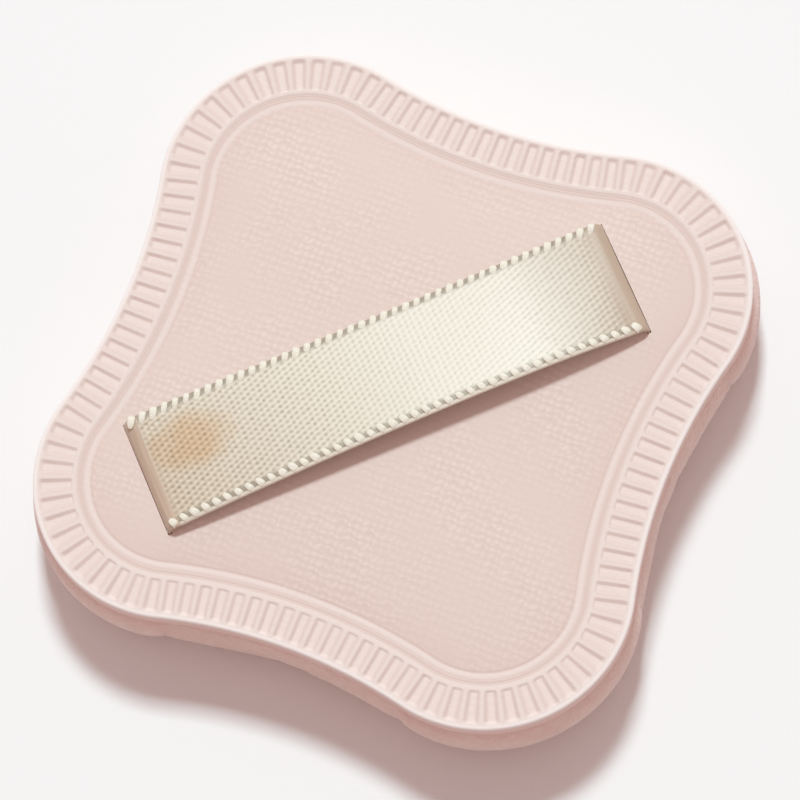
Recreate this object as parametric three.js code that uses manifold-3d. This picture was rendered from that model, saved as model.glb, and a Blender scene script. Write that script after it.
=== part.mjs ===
// Powder puff: a sponge wrapped in a soft under cover and closed by a heat-pressed knit cover, whose rim
// carries a ring of small pressed pockets, with a satin ribbon across it for the fingers.
// Millimetres, +Z up out of the ribbon side, +X along the ribbon. The pad lies on its powder face, at z = 0.

import * as THREE from "three";
import { mergeVertices } from "three/addons/utils/BufferGeometryUtils.js";
import Module from "manifold-3d";

const wasm = await Module();
wasm.setup();

// Outline of the lip, seen from above: four round lobes on the X and Y axes, with hollow sides between them
const TIP_TO_TIP = 60; // across two opposite lobes
const WAIST = 46.1; // across the middles of two opposite hollow sides
const LOBE_RADIUS = 11.6;
const LOBE_STEPS = 12; // facets round one lobe, an even number
const SIDE_STEPS = 7; // facets along one hollow side

// Layers, from the powder face up
const SKIN = 0.6; // cloth of the under cover
const FACE_FILM = 0.2; // adhesive under the sponge, and the room left round the sponge
const CORE_HEIGHT = 5; // sponge
const BACKING_RIM = 0.5; // foam backing where the rim is pressed
const LAYER_GAP = 0.1; // between the backing and the knit cover
const COVER = 0.8; // knit cover at the rim

// Side wall of the under cover, measured inwards from the lip
const WALL_BULGE = 0.35; // how far the wall swells past the lip
const BULGE_HEIGHT = 4.3; // height of its widest line
const FOOT_INSET = 4.2; // where the round of the wall meets the flat powder face
const NECK_INSET = 0.7; // groove under the lip
const HEM_WIDTH = 2.3; // cloth turned in over the sponge
const FOOT_STEPS = 4; // facets of the round below the widest line
const SHOULDER_STEPS = 2; // facets of the round above it

// Pressed rim of the knit cover: bands from the lip inwards
const BEAD_RADIUS = 0.4; // round of the lip's edge
const POCKET_INSET = 0.5; // where the pockets start
const POCKET_LENGTH = 2.4;
const POCKET_DEPTH = 0.35;
const POCKET_COUNT = 120;
const POCKET_LINE = 2.55; // inset of the line along which the pockets are evenly spaced
const POCKET_SHARE = 0.56; // width of a pocket as a share of the pitch
const RIB_WIDTH = 0.45; // land between the pockets and the gutter
const GUTTER_WIDTH = 0.65;
const GUTTER_DEPTH = 0.16;
const RIDGE_WIDTH = 0.25; // fine raised line inside the gutter
const CREASE_WIDTH = 0.35; // pressed line round the field
const CREASE_DEPTH = 0.3;
const PRESS_SLOPE = 0.08; // run of a pressed step
const LIP_GAP = 0.2; // between the foot of the lip's skirt and the hem below it
const SKIRT = 0.6; // thickness of the skirt, which hides the backing's edge
const SKIRT_GAP = 0.2; // between the skirt and the backing

// Domed field inside the crease
const FIELD_DROP = 0.12; // the field's edge below the rim
const CROWN = 0.9; // rise of the field's middle above its edge
const CROWN_POWER = 3; // the higher, the flatter the middle
const FIELD_RINGS = [0.85, 0.6, 0.3]; // rings of the dome, as shares of its reach

// Ribbon, threaded by hand a little off the pad's middle
const RIBBON_WIDTH = 10;
const RIBBON_THICK = 0.3;
const RIBBON_X = -0.3;
const RIBBON_Y = 0.5;
const RIBBON_TURN = -1; // degrees about Z
const SLIT_REACH = 20.4; // from the ribbon's middle to each slit
const SLIT_CLEAR = 0.3; // round the ribbon in its slit
const SHOULDER_RADIUS = 0.9; // where the ribbon turns down
const SHOULDER_RISE = 0.4; // of the shoulder's top above the crown
const FRONT_LIFT = 1.25; // bow of the edge on the -Y side
const BACK_LIFT = -0.1; // sag of the edge on the +Y side, towards the field
const BOW_POWER = 0.8; // the lower, the flatter the top of the bow
const BOW_SKEW = 0.35; // how much the bow leans to the +X end
const BOW_STEPS = 16;
const TURN_STEPS = 4; // facets of a bend of the ribbon
const TAIL_LENGTH = 8; // held under the cover
const TAIL_RADIUS = 0.35;
const PATCH_THICK = 0.3;
const PATCH_MARGIN = 0.8; // patch past the tail's edges
const PATCH_CLEAR = 0.3; // between the bond film and the patch, the tail or the hem

const CUT_PAST = 1; // how far a cutter runs past the surface it cuts

// Heights that follow from the layers
const coreBottom = SKIN + FACE_FILM;
const coreTop = coreBottom + CORE_HEIGHT;
const hemTop = coreTop + RIBBON_THICK + PATCH_THICK; // level with the ribbon's tails on their patches
const rimUnder = hemTop + BACKING_RIM + LAYER_GAP;
const rimTop = rimUnder + COVER;

// Insets that follow from the bands of the rim
const pocketEnd = POCKET_INSET + POCKET_LENGTH;
const gutterStart = pocketEnd + RIB_WIDTH;
const gutterEnd = gutterStart + GUTTER_WIDTH;
const ridgeEnd = gutterEnd + RIDGE_WIDTH;
const fieldInset = ridgeEnd + CREASE_WIDTH;

// Arcs of the outline: each hollow side is an arc that touches the lobes on both sides of it
const lobeCentre = TIP_TO_TIP / 2 - LOBE_RADIUS;
const lobeOverWaist = LOBE_RADIUS - WAIST / 2;
const sideCentre =
  (lobeCentre ** 2 - lobeOverWaist ** 2) / (2 * (lobeOverWaist + lobeCentre * Math.SQRT1_2));
const sideRadius = sideCentre - WAIST / 2;
const bend = Math.sign(sideRadius + LOBE_RADIUS); // 1 for hollow sides, -1 for sides that swell out
const touchAngle = Math.atan2(
  bend * sideCentre * Math.SQRT1_2,
  bend * (sideCentre * Math.SQRT1_2 - lobeCentre),
);
const sideAngle = 2 * touchAngle - Math.PI / 2;

// Stretches of a quarter of the rim, from one lobe's tip to the next, measured along the pockets
const halfLobe = (LOBE_RADIUS - POCKET_LINE) * touchAngle;
const sideStretch = (sideRadius + POCKET_LINE) * sideAngle;
const quarterStretch = 2 * halfLobe + sideStretch;

// A point of the outline set in by inset, at a share of the way round from the +X tip.
function rimPoint(share, inset) {
  const quarter = Math.floor(share * 4);
  const along = (share * 4 - quarter) * quarterStretch;
  const onward = along > halfLobe + sideStretch;
  const point = new THREE.Vector2();
  if (along < halfLobe || onward) {
    const run = onward ? along - quarterStretch : along;
    const angle = run / (LOBE_RADIUS - POCKET_LINE);
    const radius = LOBE_RADIUS - inset;
    point.set(lobeCentre + radius * Math.cos(angle), radius * Math.sin(angle));
  } else {
    const angle = Math.PI + touchAngle - (along - halfLobe) / (sideRadius + POCKET_LINE);
    const reach = sideCentre * Math.SQRT1_2;
    const radius = sideRadius + inset;
    point.set(reach + radius * Math.cos(angle), reach + radius * Math.sin(angle));
  }
  return point.rotateAround(new THREE.Vector2(), ((quarter + (onward ? 1 : 0)) * Math.PI) / 2);
}

// Shares of the way round at which a ring has its points.
function ringShares() {
  const half = LOBE_STEPS / 2;
  const stretches = [
    [0, halfLobe, half],
    [halfLobe, sideStretch, SIDE_STEPS],
    [halfLobe + sideStretch, halfLobe, half],
  ];
  const shares = [];
  for (let quarter = 0; quarter < 4; quarter++)
    for (const [start, length, steps] of stretches)
      for (let i = 0; i < steps; i++)
        shares.push((quarter + (start + (length * i) / steps) / quarterStretch) / 4);
  return shares;
}

const shares = ringShares();

// One ring of the pad's outline, set in by inset, at height z.
const ring = (inset, z) =>
  shares.map((share) => {
    const point = rimPoint(share, inset);
    return new THREE.Vector3(point.x, point.y, z);
  });

// A ring of the dome: the field's edge drawn in to a share of its reach, over a base height.
const domeHeight = (reach) => CROWN * (1 - reach ** CROWN_POWER);
const domeRing = (reach, base) =>
  ring(fieldInset, base).map((p) => p.set(p.x * reach, p.y * reach, base + domeHeight(reach)));

// A closed geometry through rings that all turn the same way, closed by a pole at each end.
function loft(rings, firstPole, lastPole) {
  const count = rings[0].length;
  const points = [...rings.flat(), firstPole, lastPole];
  const index = [];
  const bottom = rings.length * count;
  const last = bottom - count;
  for (let i = 0; i < count; i++) {
    const next = (i + 1) % count;
    index.push(bottom, next, i, bottom + 1, last + i, last + next);
    for (let row = 0; row < last; row += count)
      index.push(row + i, row + next, row + count + next, row + i, row + count + next, row + count + i);
  }
  const geometry = new THREE.BufferGeometry().setFromPoints(points);
  geometry.setIndex(index);
  geometry.computeVertexNormals();
  return geometry;
}

const onAxis = (z) => new THREE.Vector3(0, 0, z);

// A solid of a closed geometry, for cutting, and the geometry of a solid.
function solidOf(geometry) {
  const bare = geometry.clone();
  bare.deleteAttribute("normal");
  bare.deleteAttribute("uv");
  const merged = mergeVertices(bare);
  const mesh = new wasm.Mesh({
    numProp: 3,
    vertProperties: merged.attributes.position.array,
    triVerts: new Uint32Array(merged.index.array),
  });
  return new wasm.Manifold(mesh);
}

function geometryOf(solid) {
  const mesh = solid.getMesh();
  const geometry = new THREE.BufferGeometry();
  geometry.setAttribute("position", new THREE.BufferAttribute(mesh.vertProperties, 3));
  geometry.setIndex(new THREE.BufferAttribute(mesh.triVerts, 1));
  geometry.computeVertexNormals();
  return geometry;
}

// The geometry left when a list of cutters is taken out of a body.
function cut(geometry, cutters) {
  const rest = cutters.reduce((solid, cutter) => solid.subtract(solidOf(cutter)), solidOf(geometry));
  return geometryOf(rest);
}

// A box between two corners.
function boxBetween(low, high) {
  const size = high.clone().sub(low);
  const middle = low.clone().add(high).multiplyScalar(0.5);
  return new THREE.BoxGeometry(size.x, size.y, size.z).translate(middle.x, middle.y, middle.z);
}

// Round profile of the side wall at a depth under its outer face, as [inset, z] pairs from the foot up.
function wallProfile(depth, top) {
  const profile = [];
  for (let i = 0; i < FOOT_STEPS; i++) {
    const angle = (Math.PI / 2) * (1 - i / FOOT_STEPS);
    const across = FOOT_INSET + WALL_BULGE - depth;
    const down = BULGE_HEIGHT - depth;
    profile.push([FOOT_INSET - across * Math.cos(angle), BULGE_HEIGHT - down * Math.sin(angle)]);
  }
  for (let i = 0; i <= SHOULDER_STEPS; i++) {
    const angle = ((Math.PI / 2) * i) / SHOULDER_STEPS;
    const across = NECK_INSET + WALL_BULGE - depth;
    const up = top - BULGE_HEIGHT;
    profile.push([NECK_INSET - across * Math.cos(angle), BULGE_HEIGHT + up * Math.sin(angle)]);
  }
  return profile;
}

const ringsOf = (profile) => profile.map(([inset, z]) => ring(inset, z));

// Under cover: powder face, swelling side wall and the hem turned in over the sponge
function underCover() {
  const hemInset = NECK_INSET + HEM_WIDTH;
  const rings = [
    ...ringsOf(wallProfile(0, hemTop)),
    ring(hemInset, hemTop),
    ring(hemInset, coreTop),
    ...ringsOf(wallProfile(SKIN, coreTop)).reverse(),
  ];
  return loft(rings, onAxis(0), onAxis(SKIN));
}

function faceBondFilm() {
  const rings = [ring(FOOT_INSET, SKIN), ring(FOOT_INSET, coreBottom)];
  return loft(rings, onAxis(SKIN), onAxis(coreBottom));
}

function spongeCore() {
  return loft(ringsOf(wallProfile(coreBottom, coreTop)), onAxis(coreBottom), onAxis(coreTop));
}

// The ribbon with its patches: their own frame has the ribbon's middle at the origin and its length along X.
const strap = new THREE.Group();
strap.position.set(RIBBON_X, RIBBON_Y, 0);
strap.rotation.z = THREE.MathUtils.degToRad(RIBBON_TURN);
strap.updateMatrix();

// Corners of one ribbon tail's patch under the cover: side is 1 at the +X end and -1 at the other.
function patchSpan(side) {
  const outer = side * (SLIT_REACH + RIBBON_THICK / 2);
  const inner = side * (SLIT_REACH - TAIL_LENGTH - PATCH_MARGIN);
  const half = RIBBON_WIDTH / 2 + PATCH_MARGIN;
  const low = new THREE.Vector3(Math.min(outer, inner), -half, coreTop);
  const high = new THREE.Vector3(Math.max(outer, inner), half, coreTop + PATCH_THICK);
  return { low, high };
}

function ribbonPatch(side) {
  const { low, high } = patchSpan(side);
  return boxBetween(low, high);
}

// Adhesive sheet beside the hem, cut away from each ribbon tail out to the lobe's tip
function coverBondFilm() {
  const inset = NECK_INSET + HEM_WIDTH + PATCH_CLEAR;
  const sheet = loft([ring(inset, coreTop), ring(inset, hemTop)], onAxis(coreTop), onAxis(hemTop));
  const notches = [1, -1].map((side) => {
    const { low, high } = patchSpan(side);
    low.sub(new THREE.Vector3(PATCH_CLEAR, PATCH_CLEAR, CUT_PAST));
    high.add(new THREE.Vector3(PATCH_CLEAR, PATCH_CLEAR, 0)).setZ(hemTop + CUT_PAST);
    (side > 0 ? high : low).setX((side * TIP_TO_TIP) / 2);
    return boxBetween(low, high).applyMatrix4(strap.matrix);
  });
  return cut(sheet, notches);
}

// The two slits that the ribbon goes down through
function slits() {
  const across = RIBBON_THICK / 2 + SLIT_CLEAR;
  const along = RIBBON_WIDTH / 2 + SLIT_CLEAR;
  return [1, -1].map((side) => {
    const low = new THREE.Vector3(side * SLIT_REACH - across, -along, hemTop - CUT_PAST);
    const high = new THREE.Vector3(side * SLIT_REACH + across, along, rimTop + CROWN + CUT_PAST);
    return boxBetween(low, high).applyMatrix4(strap.matrix);
  });
}

// Foam backing: flat below, pressed thin at the rim, lofty under the field
function coverBacking() {
  const inset = SKIRT + SKIRT_GAP;
  const top = hemTop + BACKING_RIM;
  const rings = [
    ring(inset, hemTop),
    ring(inset, top),
    ring(fieldInset, top),
    ...FIELD_RINGS.map((reach) => domeRing(reach, top)),
  ];
  return cut(loft(rings, onAxis(hemTop), onAxis(top + CROWN)), slits());
}

// One pocket of the rim: a block that narrows with the pitch towards the inner end.
function pocketCutter(number) {
  const half = POCKET_SHARE / 2;
  const corner = (step, inset, z) => {
    const point = rimPoint(((number + 0.5 + step) / POCKET_COUNT) % 1, inset);
    return new THREE.Vector3(point.x, point.y, z);
  };
  const loop = (z) => [
    corner(-half, POCKET_INSET, z),
    corner(half, POCKET_INSET, z),
    corner(half, pocketEnd, z),
    corner(-half, pocketEnd, z),
  ];
  const centre = (z) => corner(0, (POCKET_INSET + pocketEnd) / 2, z);
  const floor = rimTop - POCKET_DEPTH;
  const above = rimTop + CUT_PAST;
  return loft([loop(floor), loop(above)], centre(floor), centre(above));
}

// Knit cover: skirted lip, pressed bands and domed field in one sheet
function knitCover() {
  const gutterFloor = rimTop - GUTTER_DEPTH;
  const skirtFoot = hemTop + LIP_GAP;
  const fieldEdge = rimTop - FIELD_DROP;
  const beadTurn = BEAD_RADIUS * (1 - Math.SQRT1_2);
  const rings = [
    ...FIELD_RINGS.map((reach) => domeRing(reach, rimUnder)).reverse(),
    ring(fieldInset, rimUnder),
    ring(SKIRT, rimUnder),
    ring(SKIRT, skirtFoot),
    ring(0, skirtFoot),
    ring(0, rimTop - BEAD_RADIUS),
    ring(beadTurn, rimTop - beadTurn),
    ring(BEAD_RADIUS, rimTop),
    ring(gutterStart, rimTop),
    ring(gutterStart + PRESS_SLOPE, gutterFloor),
    ring(gutterEnd - PRESS_SLOPE, gutterFloor),
    ring(gutterEnd, rimTop),
    ring(ridgeEnd, rimTop),
    ring((ridgeEnd + fieldInset) / 2, rimTop - CREASE_DEPTH),
    ring(fieldInset, fieldEdge),
    ...FIELD_RINGS.map((reach) => domeRing(reach, fieldEdge)),
  ];
  const sheet = loft(rings, onAxis(rimUnder + CROWN), onAxis(fieldEdge + CROWN));
  const pockets = Array.from({ length: POCKET_COUNT }, (unused, number) => pocketCutter(number));
  return cut(sheet, [...pockets, ...slits()]);
}

// Share of the bow's lift at a place along the ribbon, from -1 at one shoulder to 1 at the other.
const bow = (place) => (1 - place ** 2) ** BOW_POWER * (1 + BOW_SKEW * place);

// Half of the ribbon's side view, from its tail up through the slit and over to the middle of the bow,
// as points with the way along, and the share of the bow's lift that each has on that side.
function ribbonHalf(side) {
  const tailHeight = hemTop - RIBBON_THICK / 2;
  const shoulderTop = rimTop - FIELD_DROP + CROWN + SHOULDER_RISE;
  const stations = [];
  const station = (x, z, angle, lift) =>
    stations.push({ x, z, along: new THREE.Vector2(Math.cos(angle), Math.sin(angle)), lift });
  station(SLIT_REACH - TAIL_LENGTH, tailHeight, 0, 0);
  for (let i = 0; i <= TURN_STEPS; i++) {
    const angle = ((Math.PI / 2) * i) / TURN_STEPS;
    const x = SLIT_REACH - TAIL_RADIUS * (1 - Math.sin(angle));
    station(x, tailHeight + TAIL_RADIUS * (1 - Math.cos(angle)), angle, 0);
  }
  for (let i = 0; i <= TURN_STEPS; i++) {
    const angle = ((Math.PI / 2) * i) / TURN_STEPS;
    const x = SLIT_REACH - SHOULDER_RADIUS * (1 - Math.cos(angle));
    station(x, shoulderTop - SHOULDER_RADIUS * (1 - Math.sin(angle)), Math.PI / 2 + angle, 0);
  }
  for (let i = 1; i <= BOW_STEPS / 2; i++) {
    const out = 1 - (2 * i) / BOW_STEPS;
    const x = (SLIT_REACH - SHOULDER_RADIUS) * out;
    station(x, shoulderTop, Math.PI, bow(side * out));
  }
  return stations;
}

// Ribbon: both tails, both turns through the slits, and the bow, lifted along its front edge
function ribbon() {
  const mirrored = ribbonHalf(-1)
    .slice(0, -1)
    .reverse()
    .map(({ x, z, along, lift }) => ({ x: -x, z, along: new THREE.Vector2(along.x, -along.y), lift }));
  const sections = [...ribbonHalf(1), ...mirrored].map(({ x, z, along, lift }) => {
    const rise = (FRONT_LIFT - BACK_LIFT) * lift;
    const front = -RIBBON_WIDTH / 2;
    const back = front + Math.sqrt(RIBBON_WIDTH ** 2 - rise ** 2);
    const across = (RIBBON_THICK / 2) * along.y;
    const up = (-RIBBON_THICK / 2) * along.x;
    const corner = (y, lifted, side) =>
      new THREE.Vector3(x + side * across, y, z + lifted * lift + side * up);
    return [
      corner(front, FRONT_LIFT, 1),
      corner(back, BACK_LIFT, 1),
      corner(back, BACK_LIFT, -1),
      corner(front, FRONT_LIFT, -1),
    ];
  });
  const middle = (section) =>
    section.reduce((sum, p) => sum.add(p), new THREE.Vector3()).divideScalar(section.length);
  return loft(sections, middle(sections[0]), middle(sections.at(-1)));
}

// Materials
const finish = (color, roughness) => new THREE.MeshStandardMaterial({ color, roughness, metalness: 0 });
const knit = finish("#efdad3", 0.9);
const cloth = finish("#e6c8c0", 0.85);
const satin = finish("#efe6d6", 0.45);
const backingFoam = finish("#f2e6e0", 0.95);
const sponge = finish("#f3ece2", 0.95);
const adhesive = finish("#f6f2ea", 0.6);

function piece(name, geometry, material) {
  const mesh = new THREE.Mesh(geometry, material);
  mesh.name = name;
  return mesh;
}

// The pad's base, which stays on the table, and its top, which the fingers press down
const base = new THREE.Group();
base.add(
  piece("under_cover", underCover(), cloth),
  piece("face_bond_film", faceBondFilm(), adhesive),
  piece("sponge_core", spongeCore(), sponge),
);

strap.add(
  piece("ribbon_patch_right", ribbonPatch(1), adhesive),
  piece("ribbon_patch_left", ribbonPatch(-1), adhesive),
  piece("ribbon", ribbon(), satin),
);

const top = new THREE.Group();
top.add(
  piece("cover_bond_film", coverBondFilm(), adhesive),
  piece("cover_backing", coverBacking(), backingFoam),
  piece("knit_cover", knitCover(), knit),
  strap,
);

const puff = new THREE.Group();
puff.add(base, top);

export default puff;
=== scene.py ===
"""Powder puff: the looks of a lobed cosmetic pad with a pressed knit cover and a satin finger ribbon.

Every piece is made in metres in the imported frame, +Z up out of the ribbon side and +X along the ribbon.
"""

import math

import bmesh
import bpy
import numpy as np
from bpy.props import FloatProperty, FloatVectorProperty, IntProperty, PointerProperty
from mathutils import Matrix, Vector


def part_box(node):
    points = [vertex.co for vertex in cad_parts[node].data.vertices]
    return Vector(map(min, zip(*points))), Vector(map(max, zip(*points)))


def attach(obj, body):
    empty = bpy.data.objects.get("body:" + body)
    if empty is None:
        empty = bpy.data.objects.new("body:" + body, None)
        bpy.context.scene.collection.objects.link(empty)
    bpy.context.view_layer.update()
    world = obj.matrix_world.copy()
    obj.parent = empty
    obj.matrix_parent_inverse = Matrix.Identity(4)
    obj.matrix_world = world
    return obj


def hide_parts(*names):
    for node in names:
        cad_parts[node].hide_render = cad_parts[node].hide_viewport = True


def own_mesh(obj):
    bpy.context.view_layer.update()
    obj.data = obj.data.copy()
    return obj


bl_info = {
    "name": "Powder Puff",
    "version": (1, 0, 0),
    "blender": (4, 5, 0),
    "location": "View3D > Sidebar > Puff",
    "description": "Dresses the packed powder puff with its cover, ribbon, cloth and inner layers",
    "category": "Add Mesh",
}

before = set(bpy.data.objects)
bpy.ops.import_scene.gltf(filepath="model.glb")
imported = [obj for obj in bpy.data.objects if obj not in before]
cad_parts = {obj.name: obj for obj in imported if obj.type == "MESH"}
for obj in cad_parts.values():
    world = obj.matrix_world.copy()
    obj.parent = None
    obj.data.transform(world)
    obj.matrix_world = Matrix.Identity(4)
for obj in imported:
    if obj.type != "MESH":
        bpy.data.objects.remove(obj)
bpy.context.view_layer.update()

MM = 0.001
TURN = 2 * math.pi


def linear(red, green, blue):
    """A colour in sRGB steps of 0 to 255, as linear values."""
    steps = np.array((red, green, blue)) / 255
    return tuple(np.where(steps <= 0.04045, steps / 12.92, ((steps + 0.055) / 1.055) ** 2.4))


def span(node, axis):
    """Size of a CAD node along an axis."""
    low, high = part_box(node)
    return high[axis] - low[axis]


def length(name, default, description):
    """A length in metres."""
    return FloatProperty(name=name, description=description, default=default, unit="LENGTH", precision=5)


def factor(name, default, description):
    """A plain number."""
    return FloatProperty(name=name, description=description, default=default, subtype="FACTOR")


def angle(name, degrees, description):
    """An angle, given in degrees."""
    kind = {"subtype": "ANGLE", "unit": "ROTATION"}
    return FloatProperty(name=name, description=description, default=math.radians(degrees), **kind)


def count(name, default, description):
    """A whole number."""
    return IntProperty(name=name, description=description, default=default, min=1)


def colour(name, srgb, description):
    """A colour, given in sRGB steps of 0 to 255."""
    kind = {"subtype": "COLOR", "min": 0, "max": 1}
    return FloatVectorProperty(name=name, description=description, default=linear(*srgb), **kind)


class PuffOutline(bpy.types.PropertyGroup):
    """Lobed outline of the lip and the side wall below it."""

    tip_to_tip: length("Tip to tip", span("knit_cover", 0), "Across two opposite lobes")
    waist: length("Waist", 46.1 * MM, "Across the middles of two opposite hollow sides")
    lobe_radius: length("Lobe radius", 11.6 * MM, "Round of each lobe")
    skin: length("Skin", 0.6 * MM, "Thickness of the under cover's cloth")
    wall_bulge: length("Wall bulge", 0.35 * MM, "How far the wall swells past the lip")
    bulge_height: length("Bulge height", 4.3 * MM, "Height of the wall's widest line")
    foot_inset: length("Foot inset", 4.2 * MM, "Where the wall's round meets the powder face")
    neck_inset: length("Neck inset", 0.7 * MM, "Groove under the lip")
    hem_width: length("Hem width", 2.3 * MM, "Cloth turned in over the sponge")
    slack: length("Slack", 0.16 * MM, "How far the cloth may settle off its form")


class PuffRim(bpy.types.PropertyGroup):
    """Pressed bands of the knit cover, from the lip inwards, and the field inside them."""

    cover: length("Cover", 0.8 * MM, "Thickness of the knit cover at the rim")
    skirt: length("Skirt", 0.6 * MM, "Thickness of the skirt below the lip")
    bead_radius: length("Bead radius", 0.22 * MM, "Round of the lip's edge")
    pocket_inset: length("Pocket inset", 0.45 * MM, "Where the pockets start")
    pocket_length: length("Pocket length", 2.72 * MM, "Length of a pocket, across the rim")
    pocket_depth: length("Pocket depth", 0.23 * MM, "How deep the pockets are pressed next to the lip")
    pocket_ramp: length("Pocket ramp", 0.28 * MM, "Run of a pocket's slope down from the lip")
    pocket_fall: factor("Pocket fall", 0.35, "How much shallower a pocket is at its inner end")
    pocket_count: count("Pocket count", 120, "Pockets round the rim")
    pocket_line: length("Pocket line", 2.55 * MM, "Inset of the line that spaces the pockets")
    pocket_share: factor("Pocket share", 0.56, "Width of a pocket as a share of the pitch")
    wall_share: factor("Wall share", 0.12, "Run of a pocket's side wall as a share of the pitch")
    rib_width: length("Rib width", 0.3 * MM, "Land between the pockets and the gutter")
    gutter_width: length("Gutter width", 0.68 * MM, "Shallow band inside the rib")
    gutter_depth: length("Gutter depth", 0.09 * MM, "How deep the gutter is pressed")
    ridge_width: length("Ridge width", 0.25 * MM, "Fine raised line inside the gutter")
    ridge_drop: length("Ridge drop", 0.075 * MM, "Crest of the fine line below the rim")
    crease_width: length("Crease width", 0.35 * MM, "Pressed line round the field")
    crease_depth: length("Crease depth", 0.03 * MM, "How deep the crease is pressed")
    press_slope: length("Press slope", 0.12 * MM, "Run of a pressed step")
    field_drop: length("Field drop", 0.06 * MM, "The field's edge below the rim")
    crown: length("Crown", 0.84 * MM, "Rise of the field's middle above its edge")
    crown_power: factor("Crown power", 3, "The higher, the flatter the field's middle")
    backing_rim: length("Backing rim", 0.5 * MM, "Foam backing where the rim is pressed")
    backing_inset: length("Backing inset", 0.8 * MM, "Edge of the foam backing, inside the skirt")
    unevenness: factor("Unevenness", 0.16, "How much the pockets differ in depth")
    seed: count("Seed", 7, "Fixes the pockets' differences")


class PuffRibbon(bpy.types.PropertyGroup):
    """Finger ribbon, its place on the cover and its looped edges."""

    width: length("Width", 10 * MM, "Over the edge loops")
    thick: length("Thickness", 0.3 * MM, "Of the woven band")
    centre_x: length("Centre X", -0.3 * MM, "Place of the ribbon's middle along X")
    centre_y: length("Centre Y", 0.5 * MM, "Place of the ribbon's middle along Y")
    turn: angle("Turn", -1, "About Z, as threaded by hand")
    slit_reach: length("Slit reach", 20.4 * MM, "From the ribbon's middle to each slit")
    slit_clear: length("Slit clearance", 0.012 * MM, "Round the ribbon in its slit")
    shoulder_radius: length("Shoulder radius", 0.9 * MM, "Bend where the ribbon turns down")
    shoulder_rise: length("Shoulder rise", 0.3 * MM, "Of the ribbon's middle above the crown")
    end_drop: length("End drop", 0.15 * MM, "How far the ribbon follows the field down to its ends")
    front_lift: length("Front lift", 1.25 * MM, "Bow of the edge on the -Y side")
    back_lift: length("Back lift", -0.1 * MM, "Sag of the edge on the +Y side")
    bow_power: factor("Bow power", 0.8, "The lower, the flatter the top of the bow")
    bow_skew: factor("Bow skew", 0.35, "How much the bow leans to the +X end")
    tail_length: length("Tail length", 8 * MM, "Held under the cover at each end")
    tail_radius: length("Tail radius", 0.35 * MM, "Bend at the foot of the slit")
    loop_pitch: length("Loop pitch", 0.92 * MM, "Spacing of the edge loops")
    loop_out: length("Loop overhang", 0.16 * MM, "Edge loop past the woven band")
    loop_root: length("Loop root", 0.9 * MM, "Edge loop lying on the woven band")
    loop_shift: length("Loop shift", 0.1 * MM, "Of the edge loops to the +Y side")
    loop_spread: factor("Loop spread", 1.05, "Width of the flatter loops on the -Y side")
    loop_gather: factor("Loop gather", 0.8, "Reach of the flatter loops on the -Y side")
    loop_radius: length("Loop radius", 0.28 * MM, "Half the width of an edge loop's flat yarn")
    loop_lean: angle("Loop lean", 28, "Lean of the edge loops towards the +X end")
    loop_seed: count("Loop seed", 3, "Fixes the loops' differences")


class PuffFinish(bpy.types.PropertyGroup):
    """Colours of the cloths, the foams and the adhesive, and of the light and shade painted on the knit
    and the ribbon.
    """

    knit_light: colour("Knit, light", (243, 223, 215), "Crowns of the knit's loops")
    knit_dark: colour("Knit, dark", (226, 203, 194), "Hollows between the knit's loops")
    # Painted shade: the colour that the gutter, the crease, the field's edge and the pockets' side walls
    # are darkened towards
    knit_painted_shade: colour("Knit, sunk", (214, 182, 170), "Pressed lines of the knit")
    # Painted highlight along the lip's edge, also mixed into the rest of the rim as painted light
    lip: colour("Lip", (255, 245, 241), "Pressed edge of the knit")
    cloth: colour("Cloth", (250, 222, 213), "Nap of the under cover")
    # Nap brushed the other way, and also the painted shade down the side of the knit's lip
    cloth_deep_and_lip_shade: colour("Cloth, deep", (239, 202, 192), "Nap brushed the other way")
    # Painted sheen and shade along the ribbon: the lit middle, the shaded -X end and the shaded turn at
    # the +X end
    satin: colour("Satin", (232, 223, 207), "Ribbon where it catches the light")
    # Painted highlight on the crowns of the floats
    satin_float_highlight: colour("Satin, lit", (248, 240, 222), "Crowns of the ribbon's floats")
    satin_shade_left: colour("Satin, dull", (218, 200, 177), "Ribbon towards its dull end")
    satin_turn_shade: colour("Satin, right", (197, 173, 152), "Ribbon where it turns down at its bright end")
    satin_deep: colour("Satin, deep", (160, 143, 118), "Tie-downs between the ribbon's floats")
    # Painted shade between the edge loops
    satin_loop_shade: colour("Satin gap", (156, 142, 123), "Ribbon between the edge loops")
    # Weft at the turned ends, darkened as painted shade
    satin_end_weft_and_shade: colour("Satin end", (213, 186, 165), "Weft at the turned ends")
    stain: colour("Stain", (246, 224, 198), "Tint of a touch of powder on the ribbon")
    loop: colour("Edge loop", (250, 243, 227), "Yarn of the edge loops")
    foam: colour("Foam", (242, 230, 224), "Backing of the knit")
    sponge: colour("Sponge", (243, 236, 226), "Sponge core")
    adhesive: colour("Adhesive", (246, 242, 234), "Melted films and patches")
    floor: colour("Floor", (252, 252, 252), "Plain pale floor")


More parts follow.
